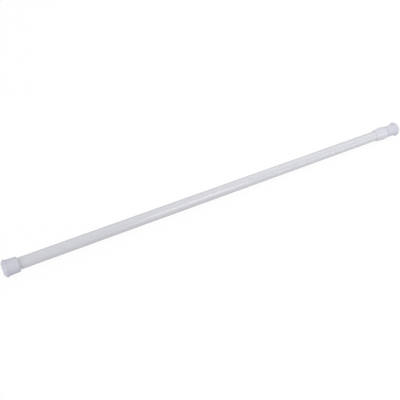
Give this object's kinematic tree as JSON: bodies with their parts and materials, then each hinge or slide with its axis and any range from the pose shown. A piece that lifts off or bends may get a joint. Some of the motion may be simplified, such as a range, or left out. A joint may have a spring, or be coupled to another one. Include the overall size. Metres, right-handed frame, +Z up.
{
  "type": "spring tension rod",
  "caption": "Closed telescoping tension rod: white coated steel tubes with soft lipped feet, a collar at the tube's mouth, and a sprung plunger with a twist lock inside.",
  "frame": {"origin": "centre of the outer foot's wall face", "axes": "+X along the rod towards the inner foot, +Z up"},
  "size_m": [0.656, 0.0232, 0.0232],
  "materials": {
    "tube_coat": "white baked enamel on steel, semi-gloss",
    "foot_rubber": "soft white thermoplastic rubber, satin",
    "collar_plastic": "moulded white plastic, semi-gloss",
    "plug_plastic": "moulded white plastic, matte",
    "nylon": "natural nylon, as moulded",
    "cam_plastic": "black nylon, as moulded",
    "zinc_steel": "bright zinc plated steel",
    "spring_steel": "oiled spring steel"
  },
  "bodies": {
    "outer": {"outer_tube": "tube_coat", "outer_foot": "foot_rubber", "outer_end_plug": "plug_plastic", "mouth_collar": "collar_plastic"},
    "guide": {"guide_ring": "nylon"},
    "inner": {"inner_tube": "tube_coat", "inner_foot": "foot_rubber", "inner_end_plug": "plug_plastic", "tube_plug": "nylon", "compression_spring": "spring_steel"},
    "plunger": {"plunger_shaft": "zinc_steel", "stop_washer": "zinc_steel", "stop_clip": "spring_steel", "lock_core": "nylon", "core_pin": "zinc_steel", "cam_washer": "zinc_steel", "cam_screw": "zinc_steel"},
    "cam": {"lock_cam": "cam_plastic"}
  },
  "joints": [
    {"name": "telescope", "type": "slide", "parent": "outer", "child": "guide", "axis": [1, 0, 0], "range_m": [0, 0.4795]},
    {"name": "twist", "type": "hinge", "parent": "guide", "child": "inner", "pos_m": [0.1344, 0, 0], "axis": [1, 0, 0], "range_deg": [-45, 45]},
    {"name": "spring_travel", "type": "slide", "parent": "inner", "child": "plunger", "axis": [1, 0, 0], "range_m": [0, 0.025], "stiffness_N_per_m": 3300, "springref_m": -0.005, "deforming": ["compression_spring"]},
    {"name": "cam_swing", "type": "hinge", "parent": "plunger", "child": "cam", "pos_m": [0.0372, 0, 0.0006], "axis": [1, 0, 0], "range_deg": [-45, 45]}
  ],
  "couplings": [
    {"joint": "cam_swing", "follows": "twist", "ratio": -1}
  ]
}
